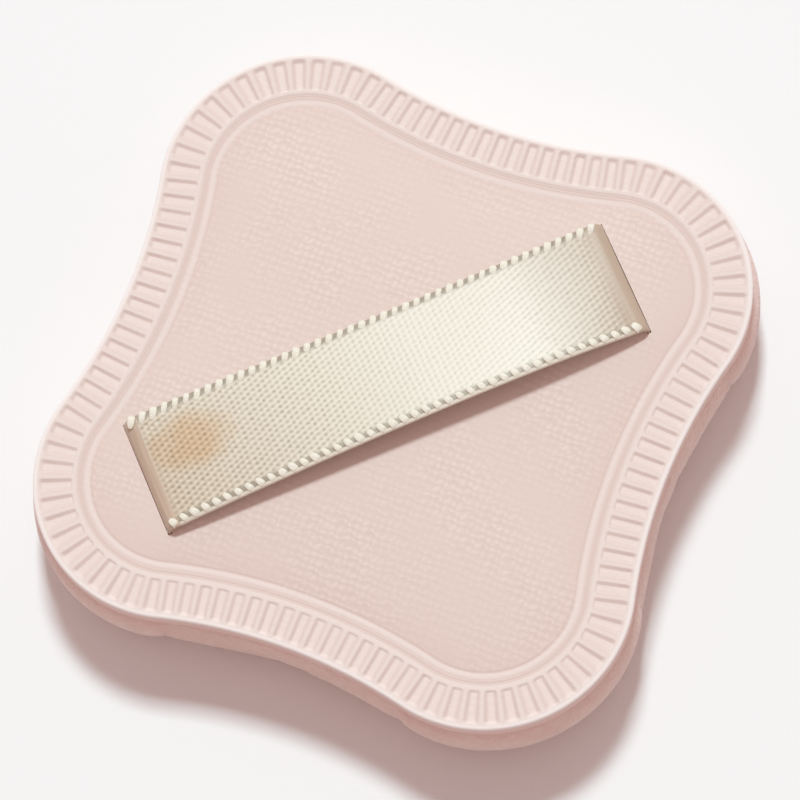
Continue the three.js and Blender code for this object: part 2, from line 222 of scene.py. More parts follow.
class PuffStage(bpy.types.PropertyGroup):
    """Camera and light of the studio."""

    lens: FloatProperty(name="Lens", description="Focal length", default=220, unit="CAMERA")
    distance: length("Distance", 385 * MM, "From the camera to the middle of the lip")
    tilt: angle("Tilt", 20.08, "Of the view from straight above")
    heading: angle("Heading", 8.31, "Turn of the pad before the tilt")
    roll: angle("Roll", 15.9, "Turn of the picture after the tilt")
    slide_x: length("Slide X", 0.576 * MM, "Camera to the right in its own plane")
    slide_y: length("Slide Y", -1.32 * MM, "Camera up in its own plane")
    key_heading: angle("Key heading", 66, "Of the key light, from +X towards +Y")
    key_height: angle("Key height", 57, "Of the key light above the table")
    key_distance: length("Key distance", 4.0, "From the key light to the pad")
    key_size: length("Key size", 0.7, "Side of the key light's panel")
    key_share: factor("Key share", 0.6, "Of the light on a level surface that the key gives")
    room_share: factor("Room share", 0.48, "Of the light on a level surface that the room gives")
    key_tint: colour("Key tint", (230, 252, 255), "Of the key light")
    room_tint: colour("Room tint", (255, 224, 219), "Of the light that the room gives back")


GROUPS = {
    "puff_outline": PuffOutline,
    "puff_rim": PuffRim,
    "puff_ribbon": PuffRibbon,
    "puff_finish": PuffFinish,
    "puff_stage": PuffStage,
}

# Heights that the CAD solids give
CORE_LOW, CORE_TOP = (corner.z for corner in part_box("sponge_core"))
HEM_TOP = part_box("under_cover")[1].z
SKIRT_FOOT, CROWN_TOP = (corner.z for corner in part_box("knit_cover"))

# Repeats of the cloths
KNIT_ROW = 0.87 * MM
KNIT_STITCH = 0.83 * MM
SATIN_FLOAT = 1.22 * MM
SATIN_PICK = 0.475 * MM
SATIN_RIB = 0.485 * MM
SATIN_TIE = 0.81 * MM

# Powder mark on the ribbon: its place and its reach, along and across
MARK_ALONG, MARK_ACROSS = -16.1 * MM, 1.2 * MM
MARK_LONG, MARK_WIDE = 3.3 * MM, 2.1 * MM

# Columns of the lofted pieces round the outline, and the angle past which a cut edge is sharp
CLOTH_COLUMNS = 360
FOAM_COLUMNS = 240
SHARP_ANGLE = math.radians(82)

# Inputs of the node trees, named as the properties that give them
RIM_SIZES = ("Pocket Inset", "Pocket Length", "Pocket Depth", "Pocket Ramp", "Pocket Fall")
RIM_SIZES += ("Pocket Line", "Pocket Share", "Wall Share", "Press Slope", "Unevenness")
RIM_COUNTS = ("Pocket Count", "Seed")
LOOP_SIZES = ("Loop Pitch", "Loop Out", "Loop Root", "Loop Radius", "Loop Lean")
LOOP_SIZES += ("Loop Spread", "Loop Gather", "Thick")
LOOP_COUNTS = ("Loop Seed",)


class Link:
    """A node's output in an expression: arithmetic on it adds Math nodes to its tree."""

    def __init__(self, socket):
        self.socket = socket

    @staticmethod
    def node(tree, kind, settings=None, inputs=None, output=0):
        """Adds a node: its settings come first, then the values or links of its sockets."""
        node = tree.nodes.new(kind)
        for name, value in (settings or {}).items():
            if name == "stops":
                Link.set_stops(node.color_ramp, value)
            elif name == "captures":
                for socket_type, label in value:
                    node.capture_items.new(socket_type, label)
            else:
                setattr(node, name, value)
        for key, value in (inputs or {}).items():
            if isinstance(value, Link):
                tree.links.new(value.socket, node.inputs[key])
            else:
                node.inputs[key].default_value = value
        return Link(node.outputs[output])

    @staticmethod
    def set_stops(ramp, stops):
        """Gives a colour ramp its stops, as places and linear colours."""
        while len(ramp.elements) < len(stops):
            ramp.elements.new(1)
        for element, (place, shade) in zip(ramp.elements, stops):
            element.position = place
            element.color = (*shade, 1)

    def also(self, output):
        """Another output of the same node."""
        return Link(self.socket.node.outputs[output])

    def math(self, operation, *terms):
        """A Math node on this value and others."""
        inputs = dict(enumerate((self, *terms)))
        return Link.node(self.socket.id_data, "ShaderNodeMath", {"operation": operation}, inputs)

    def vector(self, operation, other):
        """A Vector Math node on this vector and another vector or a scale."""
        second = "Scale" if operation == "SCALE" else 1
        inputs = {0: self, second: other}
        return Link.node(self.socket.id_data, "ShaderNodeVectorMath", {"operation": operation}, inputs)

    def parts(self):
        """The X, Y and Z of this vector."""
        x = Link.node(self.socket.id_data, "ShaderNodeSeparateXYZ", None, {"Vector": self})
        return x, x.also("Y"), x.also("Z")

    def clamp(self):
        """This value kept from 0 to 1."""
        return Link.node(self.socket.id_data, "ShaderNodeClamp", None, {"Value": self})

    def rise(self, start, run):
        """0 up to a start, then up to 1 over a run."""
        return ((self - start) / run).clamp()

    def wave(self):
        """A smooth wave from 0 to 1 that repeats at each whole number."""
        return (self * TURN).math("SINE") * 0.5 + 0.5

    def __add__(self, other):
        return self.math("ADD", other)

    __radd__ = __add__

    def __sub__(self, other):
        return self.math("SUBTRACT", other)

    def __rsub__(self, other):
        return (self * -1).math("ADD", other)

    def __mul__(self, other):
        return self.math("MULTIPLY", other)

    __rmul__ = __mul__

    def __truediv__(self, other):
        return self.math("DIVIDE", other)

    def __pow__(self, other):
        return self.math("POWER", other)

    def __abs__(self):
        return self.math("ABSOLUTE")


class Outline:
    """The pad's outline in arcs: each hollow side touches the lobes on both sides of it."""

    def __init__(self, sizes, pocket_line):
        self.radius = sizes.lobe_radius
        self.line = pocket_line
        self.lobe = sizes.tip_to_tip / 2 - self.radius
        over = self.radius - sizes.waist / 2
        self.centre = (self.lobe**2 - over**2) / (2 * (over + self.lobe * math.sqrt(0.5)))
        self.side = self.centre - sizes.waist / 2
        reach = self.centre * math.sqrt(0.5)
        self.touch = math.atan2(reach, reach - self.lobe)
        self.half_lobe = (self.radius - self.line) * self.touch
        self.stretch = (self.side + self.line) * (2 * self.touch - math.pi / 2)
        self.quarter = 2 * self.half_lobe + self.stretch

    def points(self, shares, inset):
        """Points set in from the outline, as complex numbers, at shares of the way round."""
        quarter, part = np.divmod(np.asarray(shares) * 4, 1)
        along = part * self.quarter
        onward = along > self.half_lobe + self.stretch
        run = np.where(onward, along - self.quarter, along)
        on_lobe = (along < self.half_lobe) | onward
        lobe_turn = np.exp(1j * run / (self.radius - self.line))
        back = (along - self.half_lobe) / (self.side + self.line)
        side_turn = np.exp(1j * (math.pi + self.touch - back))
        lobe = self.lobe + (self.radius - inset) * lobe_turn
        side = self.centre * math.sqrt(0.5) * (1 + 1j) + (self.side + inset) * side_turn
        return np.where(on_lobe, lobe, side) * np.exp(0.5j * math.pi * (quarter + onward))

    def ring(self, steps, inset, height, reach=1):
        """A closed ring of points at a height, drawn in to a share of its reach."""
        flat = self.points(np.arange(steps) / steps, inset) * reach
        return np.column_stack((flat.real, flat.imag, np.full(steps, height)))

    def area(self, steps=480):
        """Area inside the outline."""
        around = self.points(np.arange(steps) / steps, 0)
        return abs(np.sum((around.conj() * np.roll(around, -1)).imag)) / 2


def give_material(mesh, material):
    """Gives a mesh one material in place of any other."""
    mesh.materials.clear()
    mesh.materials.append(material)


def new_object(name, data, material=None):
    """Puts a mesh, a curve, a camera or a lamp in the scene at the origin."""
    piece = bpy.data.objects.new(name, data)
    bpy.context.scene.collection.objects.link(piece)
    if material:
        give_material(data, material)
    return piece


def write_mesh(work, mesh):
    """Writes working geometry into a mesh and frees it."""
    work.to_mesh(mesh)
    work.free()
    return mesh


def band_faces(rows, columns):
    """Faces between closed rings of points that follow each other in one list."""
    faces = []
    for start in range(0, (rows - 1) * columns, columns):
        for i in range(columns):
            j = (i + 1) % columns
            faces.append((start + i, start + j, start + columns + j, start + columns + i))
    return faces


def loft(name, rings):
    """A closed smooth mesh through rings of equal length, with a pole at each end."""
    rings = np.asarray(rings)
    rows, columns, _ = rings.shape
    points = np.vstack((rings.reshape(-1, 3), rings[0].mean(axis=0), rings[-1].mean(axis=0)))
    first, last = rows * columns, rows * columns + 1
    top = first - columns
    faces = band_faces(rows, columns)
    for i in range(columns):
        j = (i + 1) % columns
        faces += [(first, j, i), (last, top + i, top + j)]
    mesh = bpy.data.meshes.new(name)
    mesh.from_pydata(points.tolist(), [], faces)
    turn_outwards(mesh)
    return mesh


def turn_outwards(mesh):
    """Merges doubles, points the faces outwards and shades them smooth."""
    work = bmesh.new()
    work.from_mesh(mesh)
    bmesh.ops.remove_doubles(work, verts=work.verts, dist=1e-7)
    bmesh.ops.recalc_face_normals(work, faces=work.faces)
    write_mesh(work, mesh).shade_smooth()


def curve_object(name, lines, cyclic):
    """A curve object of straight-stepped splines through lists of points."""
    data = bpy.data.curves.new(name, "CURVE")
    data.dimensions = "3D"
    for line in lines:
        spline = data.splines.new("POLY")
        spline.points.add(len(line) - 1)
        spline.points.foreach_set("co", np.column_stack((line, np.ones(len(line)))).ravel())
        spline.use_cyclic_u = cyclic
    return new_object(name, data)


def grown(name, source, tree, values):
    """The plain mesh that a Geometry Nodes tree makes of an object, which is then removed."""
    modifier = source.modifiers.new(name, "NODES")
    modifier.node_group = tree
    for socket in tree.interface.items_tree:
        if socket.name in values:
            modifier[socket.identifier] = values[socket.name]
    graph = bpy.context.evaluated_depsgraph_get()
    made = source.evaluated_get(graph)
    mesh = bpy.data.meshes.new_from_object(made, depsgraph=graph)
    source.modifiers.remove(modifier)
    bpy.data.objects.remove(source)
    mesh.name = name
    return mesh


def new_tree(name, sockets):
    """A Geometry Nodes tree with named inputs: gives the tree and its group input."""
    tree = bpy.data.node_groups.new(name, "GeometryNodeTree")
    tree.interface.new_socket("Geometry", in_out="OUTPUT", socket_type="NodeSocketGeometry")
    tree.interface.new_socket("Geometry", in_out="INPUT", socket_type="NodeSocketGeometry")
    for label, kind in sockets:
        tree.interface.new_socket(label, in_out="INPUT", socket_type="NodeSocket" + kind)
    return tree, Link.node(tree, "NodeGroupInput")


def tree_values(group, labels):
    """A property group's values for a tree's inputs of the same names."""
    return {label: getattr(group, label.lower().replace(" ", "_")) for label in labels}


def combine(tree, parts):
    """A vector of the named parts, with 0 for the rest."""
    return Link.node(tree, "ShaderNodeCombineXYZ", None, parts)


def end_tree(tree, geometry, material):
    """Realizes what a tree made, gives it its material and sends it to the output."""
    real = Link.node(tree, "GeometryNodeRealizeInstances", None, {"Geometry": geometry})
    smooth = Link.node(tree, "GeometryNodeSetShadeSmooth", None, {"Geometry": real})
    inputs = {"Geometry": smooth, "Material": material}
    painted = Link.node(tree, "GeometryNodeSetMaterial", None, inputs)
    output = tree.nodes.new("NodeGroupOutput")
    tree.links.new(painted.socket, output.inputs["Geometry"])


def dress(piece, body, slot, *nodes):
    """Rides a finished piece on its body and hides the solids that it stands for."""
    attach(piece, body)
    if nodes:
        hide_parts(*nodes)


# Materials


def new_material(name, roughness, sheen=0.0):
    """A material with an empty Principled shader: gives the material, its tree and the shader."""
    material = bpy.data.materials.new(name)
    material.use_nodes = True
    tree = material.node_tree
    shader = tree.nodes["Principled BSDF"]
    shader.inputs["Roughness"].default_value = roughness
    shader.inputs["Sheen Weight"].default_value = sheen
    shader.inputs["Sheen Roughness"].default_value = 0.6
    return material, tree, shader


def blend_colours(tree, share, first, second, mode="MIX"):
    """A mix of two colours, which are linear values or links."""
    first, second = (c if isinstance(c, Link) else (*c, 1) for c in (first, second))
    kind = {"data_type": "RGBA", "blend_type": mode}
    return Link.node(tree, "ShaderNodeMix", kind, {0: share, 6: first, 7: second}, 2)


def deeper(shade, share):
    """A colour brought down to a share of itself."""
    return tuple(share * channel for channel in shade)


def paint(tree, shader, shade, relief=None, depth=0.0):
    """Feeds a shader its colour and, through a Bump node, its relief in metres."""
    tree.links.new(shade.socket, shader.inputs["Base Color"])
    if relief is not None:
        inputs = {"Height": relief, "Distance": depth, "Strength": 1.0}
        bump = Link.node(tree, "ShaderNodeBump", None, inputs)
        tree.links.new(bump.socket, shader.inputs["Normal"])


def surface(tree):
    """Place on the piece, in metres."""
    return Link.node(tree, "ShaderNodeTexCoord", output="Object")


def stored(tree, name):
    """A value kept on the points of the mesh."""
    return Link.node(tree, "ShaderNodeAttribute", {"attribute_name": name}, output="Fac")


def noise(tree, place, scale, detail=2.0):
    """Soft noise from 0 to 1, with its scale in bumps to the metre."""
    inputs = {"Vector": place, "Scale": scale, "Detail": detail}
    return Link.node(tree, "ShaderNodeTexNoise", None, inputs)


def background_rays(tree):
    """1 for rays that show the background: the camera's own, and those by gloss or through glass."""
    rays = Link.node(tree, "ShaderNodeLightPath")
    mirrored = rays.math("MAXIMUM", rays.also("Is Glossy Ray"))
    return mirrored.math("MAXIMUM", rays.also("Is Transmission Ray"))


def knit_material(finish, rim):
    """Fine knit in slanting rows, flattened in the pressed bands, with painted shade in the pressed
    lines, a painted highlight along the lip and painted rose shade down the lip's side.
    """
    material, tree, shader = new_material("knit", 0.88, 0.25)
    place = surface(tree)
    x, y, z = place.parts()
    inset, line = stored(tree, "inset"), stored(tree, "line")
    bands = RimSizes(rim)
    drift = noise(tree, place, 1300) - 0.5
    rows = ((x + y) / KNIT_ROW + drift * 1.5).wave()
    stitches = ((x - y) / KNIT_STITCH + drift * 1.5).wave()
    fibre = noise(tree, place, 3000)
    relief = rows * 0.36 + stitches * 0.14 + rows * stitches * 0.4 + drift * 0.5 + fibre * 0.35
    field = inset.rise(bands.ridge_end, rim.crease_width)
    worn = (noise(tree, place, 160) * 3 - 0.9).clamp()
    strength = worn * (field * 0.45 + 0.35)
    grain = (0.55 + (relief - 0.5) * strength).clamp()
    cloth = blend_colours(tree, grain, finish.knit_dark, finish.knit_light)
    # Painted light: the rim outside the field lightened towards the lip colour
    raised = blend_colours(tree, (1 - field) * 0.34, cloth, finish.lip)
    # Painted shade in the gutter, the crease and near the field's edge, and along the pockets' side walls
    # from the stored line mask
    gutter_line = (bands.gutter_start + bands.gutter_end) / 2
    gutter = (1.3 - abs(inset - gutter_line) / (rim.gutter_width / 2)).clamp()
    crease_line = bands.field_inset - 0.08 * MM
    crease = (1.2 - abs(inset - crease_line) / (0.13 * MM)).clamp()
    edge = (1 - (inset - bands.field_inset) / (2 * MM)).clamp() * field
    sunk = (gutter * 0.42 + crease * 0.22 + edge * 0.1 + line * 0.34).clamp()
    shaded = blend_colours(tree, sunk, raised, finish.knit_painted_shade)
    # Painted highlight: the lip's edge mixed towards the pale lip colour
    lip = 1 - inset.rise(0.25 * MM, 0.2 * MM)
    pale = blend_colours(tree, lip * 0.8, shaded, finish.lip)
    # Painted shade: the lip's side below its top mixed towards the deep rose cloth colour
    below = ((bands.top - 0.12 * MM - z) / (0.2 * MM)).clamp()
    outside = (1 - inset / (rim.bead_radius * 0.9)).clamp()
    shade = blend_colours(tree, below * outside, pale, finish.cloth_deep_and_lip_shade)
    lines = (inset / (0.24 * MM)).wave() * gutter * 0.8
    paint(tree, shader, shade, relief * strength + lines + fibre * (1 - field), 0.018 * MM)
    return material


def nap_material(finish):
    """Short brushed nap with softly changing direction."""
    material, tree, shader = new_material("nap", 0.95, 0.35)
    place = surface(tree)
    brushed = noise(tree, place, 140, 3.0)
    tuft = noise(tree, place, 1500)
    fibre = noise(tree, place, 5200)
    share = (brushed * 0.8 + tuft * 0.9 + fibre * 0.5 - 0.6).clamp()
    shade = blend_colours(tree, share, finish.cloth_deep_and_lip_shade, finish.cloth)
    paint(tree, shader, shade, tuft * 1.6 + fibre, 0.07 * MM)
    return material


def foam_material(name, shade, cells):
    """Open foam: round cells with darker pores, counted to the metre."""
    material, tree, shader = new_material(name, 0.95)
    inputs = {"Vector": surface(tree), "Scale": cells}
    cell = Link.node(tree, "ShaderNodeTexVoronoi", None, inputs)
    pores = blend_colours(tree, (cell * 1.6).clamp(), deeper(shade, 0.72), shade)
    paint(tree, shader, pores, cell, 0.12 * MM)
    return material


def adhesive_material(finish):
    """Melted adhesive: milky, slightly glossy, with a faint web."""
    material, tree, shader = new_material("adhesive", 0.5)
    web = noise(tree, surface(tree), 900, 4.0)
    shade = blend_colours(tree, web, deeper(finish.adhesive, 0.85), finish.adhesive)
    paint(tree, shader, shade, web, 0.02 * MM)
    return material


def satin_weave(tree, flat, along, across, place):
    """How deep the weave lies, and how much the tie-downs show, by the place along the ribbon."""
    drift = noise(tree, flat, 900, 1.0) - 0.5
    floats = (along / SATIN_FLOAT - across / SATIN_PICK + drift * 0.5).wave()
    ribs = (along / SATIN_RIB + drift * 0.35).wave()
    ties = (along / SATIN_TIE + across / SATIN_PICK + drift * 0.5 + 0.25).wave()
    # How strongly the floats, the ribs and the ties show, from the dull end to the bright one; they show
    # least where the painted sheen lies
    shares = [
        (0.0, (0.52, 0.26, 0.24)),
        (0.35, (0.5, 0.22, 0.16)),
        (0.58, (0.26, 0.28, 0.06)),
        (0.75, (0.45, 0.14, 0.02)),
        (0.9, (0.68, 0.16, 0.04)),
        (1.0, (0.5, 0.3, 0.2)),
    ]
    mixed = Link.node(tree, "ShaderNodeValToRGB", {"stops": shares}, {"Fac": place})
    of_floats = Link.node(tree, "ShaderNodeSeparateColor", None, {"Color": mixed})
    of_ribs, of_ties = of_floats.also("Green"), of_floats.also("Blue")
    uneven = noise(tree, flat, 1700) * 0.8 + 0.6
    return (floats * of_floats + ribs * of_ribs + ties * of_ties) * uneven, of_ties


def satin_material(finish, ribbon):
    """Satin weave along the ribbon's own map, with painted sheen and shade along its length, painted
    highlights on the floats, a powder mark, painted shade between the edge loops and ends banded with
    weft and painted shade.
    """
    material, tree, shader = new_material("satin", 0.42, 0.1)
    flat = Link.node(tree, "ShaderNodeUVMap", {"uv_map": "weave"})
    along, across, _ = flat.parts()
    half = ribbon.slit_reach - ribbon.shoulder_radius
    place = (along / (2 * half) + 0.5).clamp()
    sunk, of_ties = satin_weave(tree, flat, along, across, place)
    # Painted sheen and shade along the ribbon: darker towards -X, brightest in the middle, darker where
    # it turns down at +X
    tones = [
        (0.0, finish.satin_shade_left),
        (0.58, finish.satin),
        (0.8, finish.satin),
        (1.0, finish.satin_turn_shade),
    ]
    ground = Link.node(tree, "ShaderNodeValToRGB", {"stops": tones}, {"Fac": place})
    # Painted highlight on the crowns of the floats, strongest where the tie-downs show
    lit = ((0.45 - sunk) * 2.5).clamp() * of_ties * 1.8
    float_highlighted = blend_colours(tree, lit.clamp(), ground, finish.satin_float_highlight)
    woven = blend_colours(tree, (sunk * sunk * 0.85).clamp(), float_highlighted, finish.satin_deep)
    mark_u = (along - MARK_ALONG) / MARK_LONG
    mark_v = (across - MARK_ACROSS) / MARK_WIDE
    patchy = noise(tree, flat, 350) - 0.5
    ring = mark_u * mark_u + mark_v * mark_v + patchy * 1.8
    mark = (1.15 - ring * 0.75).clamp()
    stained = blend_colours(tree, mark, woven, finish.stain, "MULTIPLY")
    band, blur = woven_half(ribbon), 0.3 * MM
    forward = across * -1
    # Painted shade between the edge loops, along both edges of the band
    behind = across.rise(band - 0.6 * MM, blur)
    before = forward.rise(band - 0.85 * MM, blur)
    hem = forward.rise(band - 0.22 * MM, 0.14 * MM)
    loop_shaded = blend_colours(tree, (behind + before * (1 - hem)) * 0.85, stained, finish.satin_loop_shade)
    hemmed = blend_colours(tree, hem * 0.8, loop_shaded, finish.loop)
    # Ends banded with weft lines and painted shade where the ribbon turns down into its slits
    drawn = combine(tree, {"X": along, "Y": across * 0.04})
    weft = (noise(tree, drawn, 4200, 1.0) * 2.4 - 0.7).clamp()
    left = (along * -1).rise(half - 0.3 * MM, 0.4 * MM)
    right = along.rise(half - 1.2 * MM, 1.5 * MM)
    left_band = blend_colours(tree, weft * 0.4, finish.satin_end_weft_and_shade, finish.satin_deep)
    right_band = blend_colours(tree, weft * 0.2, finish.satin_turn_shade, finish.satin_deep)
    banded = blend_colours(tree, left, hemmed, left_band)
    shade = blend_colours(tree, right, banded, right_band)
    relief = weft * (left + right * 0.5) - sunk * (1 - left - right)
    paint(tree, shader, shade, relief, 0.014 * MM)
    return material


def loop_material(finish):
    """Bright yarn of the edge loops, with a fine twist."""
    material, tree, shader = new_material("edge_yarn", 0.6, 0.1)
    twist = noise(tree, surface(tree), 6000, 1.0)
    shade = blend_colours(tree, (twist * 2 - 0.5).clamp(), deeper(finish.loop, 0.85), finish.loop)
    paint(tree, shader, shade, twist, 0.03 * MM)
    return material


# Shapes


def wall_profile(sizes, depth, top, steps=14):
    """Side wall at a depth under its outer face, as insets and heights from the foot up."""
    foot = np.linspace(math.pi / 2, 0, steps, endpoint=False)
    neck = np.linspace(0, math.pi / 2, steps // 2)
    foot_across = sizes.foot_inset + sizes.wall_bulge - depth
    neck_across = sizes.neck_inset + sizes.wall_bulge - depth
    foot_insets = sizes.foot_inset - foot_across * np.cos(foot)
    neck_insets = sizes.neck_inset - neck_across * np.cos(neck)
    below = sizes.bulge_height - (sizes.bulge_height - depth) * np.sin(foot)
    above = sizes.bulge_height + (top - sizes.bulge_height) * np.sin(neck)
    return np.concatenate((foot_insets, neck_insets)), np.concatenate((below, above))


def wall_rings(outline, sizes, depth, top, columns):
    """Rings of a flat face drawn out to its foot, then of the wall, from the middle up."""
    insets, heights = wall_profile(sizes, depth, top)
    reaches = np.linspace(0.1, 0.95, 12)
    rings = [outline.ring(columns, insets[0], heights[0], reach) for reach in reaches]
    return rings + [outline.ring(columns, i, z) for i, z in zip(insets, heights)]


def settle(rings, limits, frames=14, scale=20):
    """Lets a skin of rings settle as cloth, a little long for its filling and pushed from inside.

    limits holds how far each ring may move, and a ring that may not move is pinned. The simulation
    runs at a larger scale, where Cloth is steady.
    """
    rows, columns, _ = rings.shape
    mesh = bpy.data.meshes.new("settling")
    places = (rings.reshape(-1, 3) * scale).tolist()
    mesh.from_pydata(places, [], band_faces(rows, columns))
    piece = new_object("settling", mesh)
    pinned = [point for point in range(rows * columns) if limits[point // columns] == 0]
    piece.vertex_groups.new(name="pins").add(pinned, 1.0, "REPLACE")
    cloth = piece.modifiers.new("cloth", "CLOTH").settings
    cloth.quality = 6
    cloth.mass = 0.3
    cloth.tension_stiffness = cloth.compression_stiffness = 25
    cloth.shear_stiffness = 8
    cloth.bending_stiffness = 1.5
    cloth.shrink_min = cloth.shrink_max = -0.03
    cloth.use_pressure = True
    cloth.uniform_pressure_force = 1.5
    cloth.vertex_group_mass = "pins"
    cloth.effector_weights.gravity = 0
    scene = bpy.context.scene
    for number in range(1, frames + 1):
        scene.frame_set(number)
    moved = piece.evaluated_get(bpy.context.evaluated_depsgraph_get()).data
    places = np.empty(rows * columns * 3, np.float32)
    moved.vertices.foreach_get("co", places)
    scene.frame_set(1)
    bpy.data.objects.remove(piece)
    shift = places.reshape(rings.shape) / scale - rings
    reach = np.linalg.norm(shift, axis=2, keepdims=True)
    limit = np.asarray(limits)[:, None, None]
    settled = rings + shift * np.minimum(1, limit / np.maximum(reach, 1e-9))
    settled[..., 2] = np.maximum(settled[..., 2], 0)
    return settled


class RimSizes:
    """Insets and heights that follow from the bands of the rim."""

    def __init__(self, rim):
        self.pocket_end = rim.pocket_inset + rim.pocket_length
        self.gutter_start = self.pocket_end + rim.rib_width
        self.gutter_end = self.gutter_start + rim.gutter_width
        self.ridge_end = self.gutter_end + rim.ridge_width
        self.field_inset = self.ridge_end + rim.crease_width
        self.field_edge = CROWN_TOP - rim.crown
        self.top = self.field_edge + rim.field_drop
        self.under = self.top - rim.cover

    def profile(self, rim):
        """Section of the cover from under the field, round the lip to the field: insets and heights."""
        corner = 0.1 * MM
        bead = rim.bead_radius
        slope = rim.press_slope
        points = [(self.field_inset, self.under), (rim.skirt, self.under), (rim.skirt, SKIRT_FOOT)]
        for across, up in ((1, 0), (0.3, 0.3), (0, 1)):
            points.append((across * corner, SKIRT_FOOT + up * corner))
        for turn in np.linspace(0, math.pi / 2, 7):
            points.append((bead * (1 - math.cos(turn)), self.top - bead * (1 - math.sin(turn))))
        foot = rim.pocket_inset + rim.pocket_ramp
        insets = [rim.pocket_inset - slope / 2, rim.pocket_inset, foot - slope, foot]
        insets += list(np.linspace(foot + slope, self.pocket_end - 1.6 * slope, 6))
        insets += [self.pocket_end - slope, self.pocket_end, self.pocket_end + slope / 2]
        points += [(inset, self.top) for inset in insets]
        floor = self.top - rim.gutter_depth
        points += [(self.gutter_start - slope / 2, self.top), (self.gutter_start, self.top - slope / 8)]
        points += [(self.gutter_start + 1.5 * slope, floor), (self.gutter_start + 2.2 * slope, floor)]
        points += [(self.gutter_end - 1.5 * slope, floor), (self.gutter_end - slope / 2, floor)]
        crest = self.top - rim.ridge_drop
        middle = (self.gutter_end + self.ridge_end) / 2
        across = rim.ridge_width / 2
        for turn in np.linspace(0.15, 0.85, 5) * math.pi:
            height = floor + (crest - floor) * math.sin(turn)
            points.append((middle - across * math.cos(turn), height))
        for share in (0.2, 0.4, 0.55, 0.7, 0.85, 1.0):
            dip = math.sin(math.pi * share) ** 1.5 * rim.crease_depth
            level = crest + (self.field_edge - crest) * share
            points.append((self.ridge_end + rim.crease_width * share, level - dip))
        return points


def rail_shares(rim):
    """Places of the mesh columns round the rim, gathered at the pockets' side walls."""
    half, wall = rim.pocket_share / 2, rim.wall_share / 2
    side = np.array((0.1, half - 1.8 * wall, half - wall, half + wall, half + 1.8 * wall, 0.44))
    pitch = np.concatenate(([-0.5], -side[::-1], [0], side)) + 0.5
    return (np.arange(rim.pocket_count)[:, None] + pitch[None]).ravel() / rim.pocket_count


def rim_tree():
    """Nodes that sweep the rim's section round the pocket line and press the pockets into it."""
    sockets = [("Profile", "Object"), ("Material", "Material"), ("Middle Height", "Float")]
    sockets += [(label, "Float") for label in RIM_SIZES] + [(label, "Int") for label in RIM_COUNTS]
    tree, given = new_tree("pressed_rim", sockets)
    position = Link.node(tree, "GeometryNodeInputPosition")
    rail = Link.node(
        tree,
        "GeometryNodeCaptureAttribute",
        {"captures": [("FLOAT", "share"), ("VECTOR", "foot"), ("VECTOR", "way")]},
        {
            "Geometry": given.also("Geometry"),
            "share": Link.node(tree, "GeometryNodeSplineParameter"),
            "foot": position,
            "way": Link.node(tree, "GeometryNodeInputTangent"),
        },
    )
    profile = {"Object": given.also("Profile")}
    profile = Link.node(tree, "GeometryNodeObjectInfo", None, profile, "Geometry")
    section = Link.node(
        tree,
        "GeometryNodeCaptureAttribute",
        {"captures": [("VECTOR", "place")]},
        {"Geometry": profile, "place": position},
    )
    swept = {"Curve": rail, "Profile Curve": section}
    swept = Link.node(tree, "GeometryNodeCurveToMesh", None, swept)
    inset, height, _ = section.also("place").parts()
    turn = rail.also("share") * given.also("Pocket Count")
    number = turn.math("FLOOR")
    aside = abs(turn - number - 0.5)
    half, wall = given.also("Pocket Share") * 0.5, given.also("Wall Share")
    across = ((half - aside) / wall + 0.5).clamp()
    start, whole = given.also("Pocket Inset"), given.also("Pocket Length")
    near = inset.rise(start, given.also("Pocket Ramp"))
    far = ((start + whole - inset) / given.also("Press Slope")).clamp()
    top = height.math("GREATER_THAN", given.also("Middle Height"))
    inside = near * far * top
    uneven = Link.node(
        tree,
        "FunctionNodeRandomValue",
        {"data_type": "FLOAT"},
        {2: -1.0, 3: 1.0, "ID": number, "Seed": given.also("Seed")},
        1,
    )
    depth = given.also("Pocket Depth") * (1 + uneven * given.also("Unevenness"))
    depth = depth * (1 - inset.rise(start, whole) * given.also("Pocket Fall"))
    # Mask of the painted shade along the pockets' side walls, stored as the line attribute
    line = (1.3 - abs(aside - half) / (wall * 1.2)).clamp() * inside
    outward = rail.also("way").vector("CROSS_PRODUCT", (0, 0, 1))
    sideways = outward.vector("SCALE", given.also("Pocket Line") - inset)
    lift = combine(tree, {"Z": height - across * inside * depth})
    place = rail.also("foot").vector("ADD", sideways).vector("ADD", lift)
    made = {"Geometry": swept, "Position": place}
    made = Link.node(tree, "GeometryNodeSetPosition", None, made)
    for label, value in (("inset", inset), ("share", rail.also("share")), ("line", line)):
        made = Link.node(
            tree,
            "GeometryNodeStoreNamedAttribute",
            {"data_type": "FLOAT", "domain": "POINT"},
            {"Geometry": made, "Name": label, "Value": value},
        )
    end_tree(tree, made, given.also("Material"))
    return tree


def dome(rim, reach):
    """Rise of the field above its edge, at a share of its reach."""
    return rim.crown * (1 - reach**rim.crown_power)


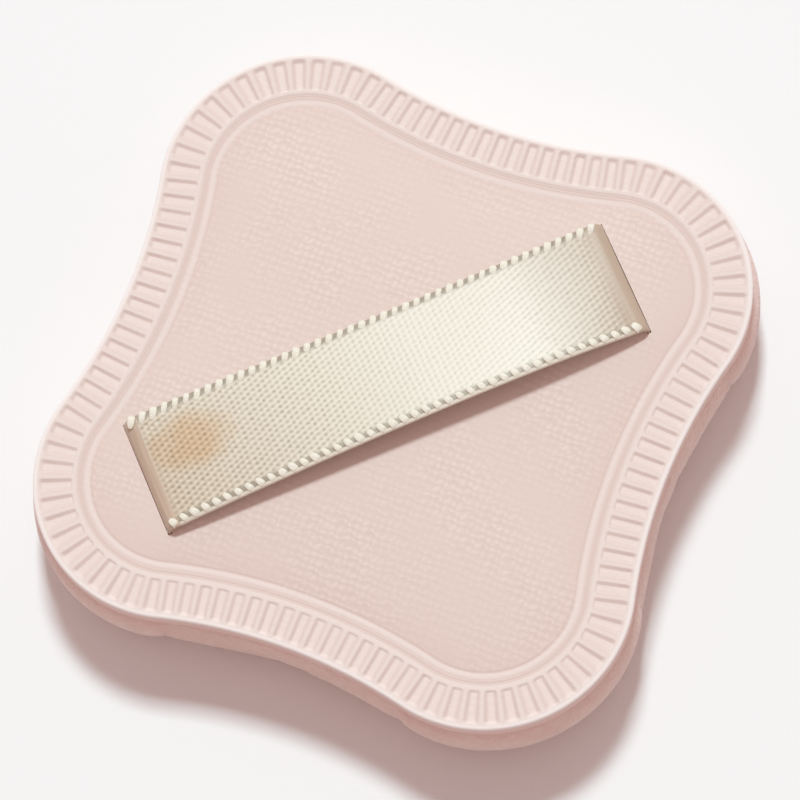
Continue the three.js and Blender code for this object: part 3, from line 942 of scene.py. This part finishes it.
def close_field(mesh, outline, rim, bands, every=7, rings=26):
    """Closes the swept rim with the domed field and its underside, in fewer columns than the rim."""
    work = bmesh.new()
    work.from_mesh(mesh)
    insets = work.verts.layers.float["inset"]
    shares = work.verts.layers.float["share"]
    edge = [v for v in work.verts if abs(v[insets] - bands.field_inset) < 1e-6]
    middle = (bands.under + bands.field_edge) / 2
    for above in (True, False):
        loop = sorted((v for v in edge if (v.co.z > middle) == above), key=lambda v: v[shares])
        base = bands.field_edge if above else bands.under
        columns = len(loop) // every
        outer = None
        # From just inside the edge to a small cap, with the rings closer together near the edge
        for reach in 1 - np.linspace(0.006, 0.985, rings) ** 1.2:
            places = outline.ring(columns, bands.field_inset, base + dome(rim, reach), reach)
            ring = [work.verts.new(place) for place in places]
            for v in ring:
                v[insets] = bands.field_inset + (1 - reach) * outline.lobe
            for i in range(columns):
                j = (i + 1) % columns
                if outer is None:
                    strip = [loop[(every * j - k) % len(loop)] for k in range(every + 1)]
                    work.faces.new([ring[i], ring[j], *strip])
                else:
                    work.faces.new([ring[i], ring[j], outer[j], outer[i]])
            outer = ring
        work.faces.new(outer)
    bmesh.ops.recalc_face_normals(work, faces=work.faces)
    write_mesh(work, mesh).shade_smooth()


def ribbon_frame(ribbon):
    """Matrix from the ribbon's own frame to the pad's."""
    place = Matrix.Translation((ribbon.centre_x, ribbon.centre_y, 0))
    return place @ Matrix.Rotation(ribbon.turn, 4, "Z")


def woven_half(ribbon):
    """Half the width of the woven band, inside the loops."""
    return ribbon.width / 2 - ribbon.loop_out


def cut_slits(piece, ribbon):
    """Cuts the two slits that the ribbon goes down through."""
    across = ribbon.thick / 2 + ribbon.slit_clear
    along = ribbon.width / 2 + ribbon.slit_clear
    work = bmesh.new()
    for side in (1, -1):
        size = Matrix.Diagonal((2 * across, 2 * along, CROWN_TOP, 1))
        place = Matrix.Translation((side * ribbon.slit_reach, 0, CROWN_TOP))
        bmesh.ops.create_cube(work, size=1, matrix=ribbon_frame(ribbon) @ place @ size)
    cutter = new_object("slits", write_mesh(work, bpy.data.meshes.new("slits")))
    modifier = piece.modifiers.new("slits", "BOOLEAN")
    modifier.operation = "DIFFERENCE"
    modifier.solver = "MANIFOLD"
    modifier.object = cutter
    graph = bpy.context.evaluated_depsgraph_get()
    cut = bpy.data.meshes.new_from_object(piece.evaluated_get(graph), depsgraph=graph)
    piece.modifiers.remove(modifier)
    if len(cut.polygons) == 0:
        raise RuntimeError("cutting the slits left nothing of " + piece.name)
    cut.set_sharp_from_angle(angle=SHARP_ANGLE)
    if "inset" in cut.attributes:
        well_inside = 8 * MM
        back = ribbon_frame(ribbon).inverted()
        for v, value in zip(cut.vertices, cut.attributes["inset"].data):
            at = back @ v.co
            if abs(abs(at.x) - ribbon.slit_reach) < 2 * across and abs(at.y) < 1.1 * along:
                value.value = well_inside
    piece.data = cut
    bpy.data.objects.remove(cutter)


def ribbon_half(ribbon, side, bow_steps=48, turn_steps=9):
    """Half of the ribbon's side view, from its tail over the shoulder to the middle of the bow.

    Gives rows of x, height, direction of travel and share of the bow's lift.
    """
    tail = HEM_TOP - ribbon.thick / 2
    top = CROWN_TOP + ribbon.shoulder_rise
    shoulder = top - ribbon.end_drop - ribbon.shoulder_radius
    rows = [(ribbon.slit_reach - ribbon.tail_length, tail, 0, 0)]
    for turn in np.linspace(0, math.pi / 2, turn_steps):
        x = ribbon.slit_reach - ribbon.tail_radius * (1 - math.sin(turn))
        rows.append((x, tail + ribbon.tail_radius * (1 - math.cos(turn)), turn, 0))
    for turn in np.linspace(0, math.pi / 2, turn_steps):
        x = ribbon.slit_reach - ribbon.shoulder_radius * (1 - math.cos(turn))
        rows.append((x, shoulder + ribbon.shoulder_radius * math.sin(turn), math.pi / 2 + turn, 0))
    for out in np.linspace(1, 0, bow_steps)[1:]:
        x = (ribbon.slit_reach - ribbon.shoulder_radius) * out
        lift = (1 - out**2) ** ribbon.bow_power * (1 + side * ribbon.bow_skew * out)
        rows.append((x, top - ribbon.end_drop * out**3, math.pi, lift))
    return np.array(rows)


def ribbon_rows(ribbon):
    """The ribbon's whole side view, from the tail at -X to the tail at +X, with the length along it."""
    left, right = ribbon_half(ribbon, -1), ribbon_half(ribbon, 1)
    left[:, 0] *= -1
    left[:, 2] = math.pi - left[:, 2]
    right[:, 2] += math.pi
    rows = np.vstack((left, right[-2::-1]))
    steps = np.hypot(*np.diff(rows[:, :2], axis=0).T)
    run = np.concatenate(([0], np.cumsum(steps)))
    return rows, run - run[-1] / 2


def ribbon_sections(ribbon, rows, across, half):
    """Points of the ribbon's middle surface by row, at shares of half its width."""
    rise = (ribbon.front_lift - ribbon.back_lift) * rows[:, 3]
    front = -ribbon.width / 2
    reach = np.sqrt(ribbon.width**2 - rise**2)
    share = (1 + across * half / (ribbon.width / 2)) / 2
    y = front + share[None] * reach[:, None]
    lift = ribbon.front_lift + share * (ribbon.back_lift - ribbon.front_lift)
    z = rows[:, 1][:, None] + lift[None] * rows[:, 3][:, None]
    x = np.broadcast_to(rows[:, 0][:, None], y.shape)
    return np.stack((x, y, z), axis=-1)


def ribbon_mesh(ribbon, across_steps=22):
    """Woven band: a closed strip with round edges, and a map of its length and width in metres."""
    rows, run = ribbon_rows(ribbon)
    half = woven_half(ribbon)
    across = np.linspace(-1, 1, across_steps)
    middle = ribbon_sections(ribbon, rows, across, half)
    edges = ribbon_sections(ribbon, rows, np.array((-1.0, 1.0)), half + ribbon.thick / 2)
    normal = np.stack((-np.sin(rows[:, 2]), np.zeros(len(rows)), np.cos(rows[:, 2])), axis=-1)
    offset = normal[:, None, :] * ribbon.thick / 2
    above, below = middle + offset, (middle - offset)[:, ::-1]
    rings = np.concatenate((above, edges[:, 1:], below, edges[:, :1]), axis=1)
    columns = rings.shape[1]
    mesh = loft("ribbon_band", rings)
    mesh.transform(ribbon_frame(ribbon))
    flat = np.concatenate((across, [1], across[::-1], [-1])) * half
    along = np.append(np.repeat(run, columns), (run[0], run[-1]))
    sideways = np.append(np.tile(flat, len(rows)), (0, 0))
    corner = np.empty(len(mesh.loops), np.int32)
    mesh.loops.foreach_get("vertex_index", corner)
    weave = mesh.uv_layers.new(name="weave")
    weave.data.foreach_set("uv", np.column_stack((along[corner], sideways[corner])).ravel())
    return mesh, run[-1] - run[0]


def loop_tree():
    """Nodes that set a short loop of yarn over an edge at each pitch, leaning along it."""
    sockets = [("Material", "Material"), *((label, "Float") for label in LOOP_SIZES)]
    sockets += [(label, "Int") for label in LOOP_COUNTS]
    tree, given = new_tree("edge_loops", sockets)
    out, root, thick = given.also("Loop Out"), given.also("Loop Root"), given.also("Thick")
    # Path of a loop: from the band's top, out round its edge and back underneath
    path = {"Resolution": 8}
    for label, y, z in (
        ("Start", root, thick * 0.38),
        ("Start Handle", out * -2.6, thick * 1.4),
        ("End Handle", out * -2.6, thick * -1.4),
        ("End", root * 0.6, thick * -0.5),
    ):
        path[label] = combine(tree, {"Y": y, "Z": z})
    yarn = Link.node(tree, "GeometryNodeCurvePrimitiveBezierSegment", None, path)
    yarn = Link.node(tree, "GeometryNodeResampleCurve", {"mode": "COUNT"}, {"Curve": yarn, "Count": 11})
    section = {"Resolution": 10, "Radius": given.also("Loop Radius")}
    section = Link.node(tree, "GeometryNodeCurvePrimitiveCircle", {"mode": "RADIUS"}, section)
    section = {"Geometry": section, "Scale": (1, 0.26, 1)}
    section = Link.node(tree, "GeometryNodeTransform", None, section)
    run = Link.node(tree, "GeometryNodeSplineParameter")
    swell = ((run * 0.94 + 0.03) * math.pi).math("SINE") ** 0.38 * (1.25 - run * 0.45)
    loop = {"Curve": yarn, "Profile Curve": section, "Scale": swell, "Fill Caps": True}
    loop = Link.node(tree, "GeometryNodeCurveToMesh", None, loop)
    edge = {"Curve": given.also("Geometry"), "Length": given.also("Loop Pitch")}
    edge = Link.node(tree, "GeometryNodeResampleCurve", {"mode": "LENGTH"}, edge)
    way = Link.node(tree, "GeometryNodeInputTangent")
    turned = Link.node(tree, "FunctionNodeAlignRotationToVector", {"axis": "X"}, {"Vector": way})
    upright = Link.node(
        tree,
        "FunctionNodeAlignRotationToVector",
        {"axis": "Z", "pivot_axis": "X"},
        {"Rotation": turned, "Vector": (0, 0, 1)},
    )
    scale = Link.node(
        tree,
        "FunctionNodeRandomValue",
        {"data_type": "FLOAT_VECTOR"},
        {"Min": (0.85, 0.88, 0.95), "Max": (1.15, 1.15, 1.1), "Seed": given.also("Loop Seed")},
    )
    to_right = way.parts()[0].math("SIGN")
    front = to_right * 0.5 + 0.5
    spread = 1 + front * (given.also("Loop Spread") - 1)
    gather = 1 + front * (given.also("Loop Gather") - 1)
    scale = scale.vector("MULTIPLY", combine(tree, {"X": spread, "Y": gather, "Z": 1.0}))
    yaw = {"Axis": (0, 0, 1), "Angle": to_right * given.also("Loop Lean")}
    yaw = Link.node(tree, "FunctionNodeAxisAngleToRotation", None, yaw)
    leaning = {"Rotation": upright, "Rotate By": yaw}
    leaning = Link.node(tree, "FunctionNodeRotateRotation", {"rotation_space": "LOCAL"}, leaning)
    loops = {"Points": edge, "Instance": loop, "Rotation": leaning, "Scale": scale}
    loops = Link.node(tree, "GeometryNodeInstanceOnPoints", None, loops)
    end_tree(tree, loops, given.also("Material"))
    return tree


class PUFF_OT_stage(bpy.types.Operator):
    """Sets the camera, the soft light and the pale floor"""

    bl_idname = "puff.stage"
    bl_label = "Stage"

    def execute(self, context):
        stage = context.scene.puff_stage
        self.make_camera(context, stage)
        self.make_light(context, stage)
        self.make_floor(context.scene.puff_finish)
        context.scene.view_settings.view_transform = "Standard"
        return {"FINISHED"}

    def make_camera(self, context, stage):
        """Camera at the viewing angle, moved in its own plane to frame the pad."""
        lip = RimSizes(context.scene.puff_rim).top
        turn = Matrix.Rotation(stage.roll, 3, "Z") @ Matrix.Rotation(-stage.tilt, 3, "X")
        turn = (turn @ Matrix.Rotation(stage.heading, 3, "Z")).transposed()
        data = bpy.data.cameras.new("camera")
        data.lens = stage.lens
        data.clip_start = 0.01
        camera = new_object("camera", data)
        away = Vector((stage.slide_x, stage.slide_y, stage.distance))
        camera.matrix_world = Matrix.Translation(Vector((0, 0, lip)) + turn @ away) @ turn.to_4x4()
        context.scene.camera = camera

    def make_light(self, context, stage):
        """One soft panel high at the back, and an even white room."""
        heading = Vector((math.cos(stage.key_heading), math.sin(stage.key_heading), 0))
        away = heading * math.cos(stage.key_height) + Vector((0, 0, math.sin(stage.key_height)))
        lamp = bpy.data.lights.new("key", "AREA")
        lamp.size = stage.key_size
        lamp.color = stage.key_tint
        lamp.energy = stage.key_share * (math.pi * stage.key_distance) ** 2 / math.sin(stage.key_height)
        key = new_object("key", lamp)
        key.location = away * stage.key_distance
        key.rotation_mode = "QUATERNION"
        key.rotation_quaternion = away.to_track_quat("Z", "Y")
        world = bpy.data.worlds.new("room")
        world.use_nodes = True
        context.scene.world = world
        tree = world.node_tree
        glow = deeper(stage.room_tint, stage.room_share)
        shade = blend_colours(tree, background_rays(tree), glow, (1, 1, 1))
        tree.links.new(shade.socket, tree.nodes["Background"].inputs["Color"])

    def make_floor(self, finish):
        """Level floor, white to the camera and a little darker to the pad."""
        drop = Matrix.Translation((0, 0, -0.02 * MM))
        work = bmesh.new()
        bmesh.ops.create_grid(work, x_segments=1, y_segments=1, size=2, matrix=drop)
        mesh = write_mesh(work, bpy.data.meshes.new("floor"))
        material, tree, shader = new_material("floor", 0.9)
        dim = deeper(finish.floor, 0.8)
        paint(tree, shader, blend_colours(tree, background_rays(tree), dim, finish.floor))
        shader.inputs["Specular IOR Level"].default_value = 0.0
        new_object("floor", mesh, material)


class PUFF_OT_under_cover(bpy.types.Operator):
    """Makes the soft cloth of the powder face and the side wall"""

    bl_idname = "puff.under_cover"
    bl_label = "Under cover"

    def execute(self, context):
        sizes = context.scene.puff_outline
        outline = Outline(sizes, context.scene.puff_rim.pocket_line)
        hem = sizes.neck_inset + sizes.hem_width
        skin = np.array(wall_rings(outline, sizes, 0, HEM_TOP, CLOTH_COLUMNS))
        rise = skin[:, 0, 2] / HEM_TOP
        skin = settle(skin, sizes.slack * np.clip(4 * rise * (1 - rise), 0, 1))
        rings = list(skin)
        rings += [outline.ring(CLOTH_COLUMNS, hem, height) for height in (HEM_TOP, CORE_TOP)]
        rings += wall_rings(outline, sizes, sizes.skin, CORE_TOP, CLOTH_COLUMNS)[::-1]
        nap = nap_material(context.scene.puff_finish)
        piece = new_object("under_cover_cloth", loft("under_cover_cloth", rings), nap)
        dress(piece, "pad_base", "cloth", "under_cover")
        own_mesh(piece)
        return {"FINISHED"}


class PUFF_OT_inner_layers(bpy.types.Operator):
    """Makes the sponge and the foam backing, and finishes the adhesive between the layers"""

    bl_idname = "puff.inner_layers"
    bl_label = "Inner layers"

    def execute(self, context):
        scene = context.scene
        sizes, rim, finish = scene.puff_outline, scene.puff_rim, scene.puff_finish
        outline = Outline(sizes, rim.pocket_line)
        self.make_sponge(outline, sizes, finish)
        self.make_backing(outline, rim, finish, scene.puff_ribbon)
        glue = adhesive_material(finish)
        for node in ("face_bond_film", "cover_bond_film", "ribbon_patch_left", "ribbon_patch_right"):
            give_material(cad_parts[node].data, glue)
        return {"FINISHED"}

    def make_sponge(self, outline, sizes, finish):
        """Sponge that fills the under cover and takes the press."""
        rings = wall_rings(outline, sizes, CORE_LOW, CORE_TOP, FOAM_COLUMNS)
        foam = foam_material("sponge", finish.sponge, cells=2200)
        core = new_object("sponge", loft("sponge", rings), foam)
        dress(core, "pad_base", "sponge", "sponge_core")
        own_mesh(core)

    def make_backing(self, outline, rim, finish, ribbon):
        """Foam sheet behind the knit, thin at the rim and lofty under the field."""
        field_inset = RimSizes(rim).field_inset
        top = HEM_TOP + rim.backing_rim
        rings = [outline.ring(FOAM_COLUMNS, rim.backing_inset, HEM_TOP)]
        for inset in np.linspace(rim.backing_inset, field_inset, 6):
            rings.append(outline.ring(FOAM_COLUMNS, inset, top))
        for reach in np.linspace(0.95, 0.05, 14):
            rings.append(outline.ring(FOAM_COLUMNS, field_inset, top + dome(rim, reach), reach))
        backing = new_object("backing_foam", loft("backing_foam", rings))
        cut_slits(backing, ribbon)
        give_material(backing.data, foam_material("backing_foam", finish.foam, cells=3600))
        dress(backing, "pad_top", "backing_foam", "cover_backing")


class PUFF_OT_knit_cover(bpy.types.Operator):
    """Makes the knit cover: lip, ring of pressed pockets, gutter, crease and domed field"""

    bl_idname = "puff.knit_cover"
    bl_label = "Knit cover"

    def execute(self, context):
        sizes, rim = context.scene.puff_outline, context.scene.puff_rim
        outline = Outline(sizes, rim.pocket_line)
        bands = RimSizes(rim)
        line = outline.points(rail_shares(rim), rim.pocket_line)
        places = np.column_stack((line.real, line.imag, np.zeros(len(line))))
        rail = curve_object("pocket_line", [places], True)
        section = [(inset, height, 0) for inset, height in bands.profile(rim)]
        profile = curve_object("rim_section", [section], False)
        values = tree_values(rim, RIM_SIZES + RIM_COUNTS)
        values["Profile"] = profile
        values["Material"] = knit_material(context.scene.puff_finish, rim)
        values["Middle Height"] = (bands.under + bands.top) / 2
        mesh = grown("pressed_knit_cover", rail, rim_tree(), values)
        bpy.data.objects.remove(profile)
        close_field(mesh, outline, rim, bands)
        piece = new_object("pressed_knit_cover", mesh)
        cut_slits(piece, context.scene.puff_ribbon)
        dress(piece, "pad_top", "knit", "knit_cover")
        float(outline.area())
        return {"FINISHED"}


class PUFF_OT_ribbon(bpy.types.Operator):
    """Makes the satin ribbon with its turned ends and the yarn loops along its edges"""

    bl_idname = "puff.ribbon"
    bl_label = "Ribbon"

    def execute(self, context):
        ribbon, finish = context.scene.puff_ribbon, context.scene.puff_finish
        mesh, full_length = ribbon_mesh(ribbon)
        band = new_object("ribbon_band", mesh, satin_material(finish, ribbon))
        dress(band, "pad_top", "satin", "ribbon")
        rows, _ = ribbon_rows(ribbon)
        shown = np.abs(rows[:, 0]) < ribbon.slit_reach - ribbon.shoulder_radius * 0.8
        shown &= rows[:, 1] > CROWN_TOP
        half = woven_half(ribbon)
        shares = np.array((-1.0, 1.0)) + ribbon.loop_shift / half
        edges = ribbon_sections(ribbon, rows[shown], shares, half)
        turn = np.array(ribbon_frame(ribbon))
        edges = edges @ turn[:3, :3].T + turn[:3, 3]
        source = curve_object("ribbon_edges", [edges[:, 0], edges[::-1, 1]], False)
        values = tree_values(ribbon, LOOP_SIZES + LOOP_COUNTS)
        values["Material"] = loop_material(finish)
        mesh = grown("ribbon_edge_loops", source, loop_tree(), values)
        loops = new_object("ribbon_edge_loops", mesh)
        dress(loops, "pad_top", "satin")
        return {"FINISHED"}


class PUFF_PT_sidebar(bpy.types.Panel):
    """Lists the pieces of the puff and their sizes"""

    bl_idname = "PUFF_PT_sidebar"
    bl_label = "Powder puff"
    bl_space_type = "VIEW_3D"
    bl_region_type = "UI"
    bl_category = "Puff"

    def draw(self, context):
        for operator in OPERATORS:
            self.layout.operator(operator.bl_idname)
        for name, group in GROUPS.items():
            box = self.layout.box()
            for key in group.__annotations__:
                box.prop(getattr(context.scene, name), key)


OPERATORS = (
    PUFF_OT_stage,
    PUFF_OT_under_cover,
    PUFF_OT_inner_layers,
    PUFF_OT_knit_cover,
    PUFF_OT_ribbon,
)


def register():
    """Registers the groups, the operators and the panel."""
    for name, group in GROUPS.items():
        bpy.utils.register_class(group)
        setattr(bpy.types.Scene, name, PointerProperty(type=group))
    for made in (*OPERATORS, PUFF_PT_sidebar):
        bpy.utils.register_class(made)


def unregister():
    """Takes the panel, the operators and the groups away again."""
    for made in (PUFF_PT_sidebar, *reversed(OPERATORS)):
        bpy.utils.unregister_class(made)
    for name, group in GROUPS.items():
        delattr(bpy.types.Scene, name)
        bpy.utils.unregister_class(group)


def main():
    """Makes every piece in order."""
    register()
    bpy.ops.puff.stage()
    bpy.ops.puff.under_cover()
    bpy.ops.puff.inner_layers()
    bpy.ops.puff.knit_cover()
    bpy.ops.puff.ribbon()


if __name__ == "__main__":
    main()
